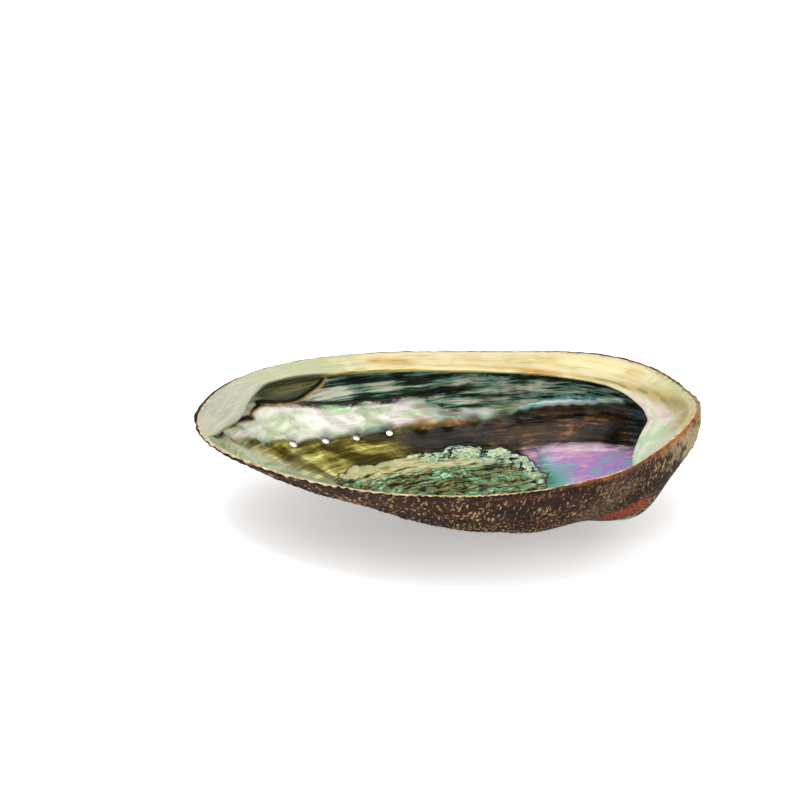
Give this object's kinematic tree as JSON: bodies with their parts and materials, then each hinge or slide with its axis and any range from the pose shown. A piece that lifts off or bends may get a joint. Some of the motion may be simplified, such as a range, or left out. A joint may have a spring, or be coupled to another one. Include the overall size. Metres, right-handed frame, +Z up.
{
  "type": "abalone shell",
  "caption": "Empty ear-shaped sea snail shell: a shallow oval bowl with a broad pearly shelf along one side and a curved row of breathing holes.",
  "frame": {"origin": "middle of the shell's box, at the level it rests on", "axes": "+X from the growing end to the spire end, +Y from the thin lip to the nacre shelf, +Z up out of the mouth; the shell lies on its back"},
  "size_m": [0.1504, 0.1044, 0.037],
  "materials": {
    "shell": "gloss"
  },
  "bodies": {
    "root": {"shell": "shell"}
  },
  "joints": []
}
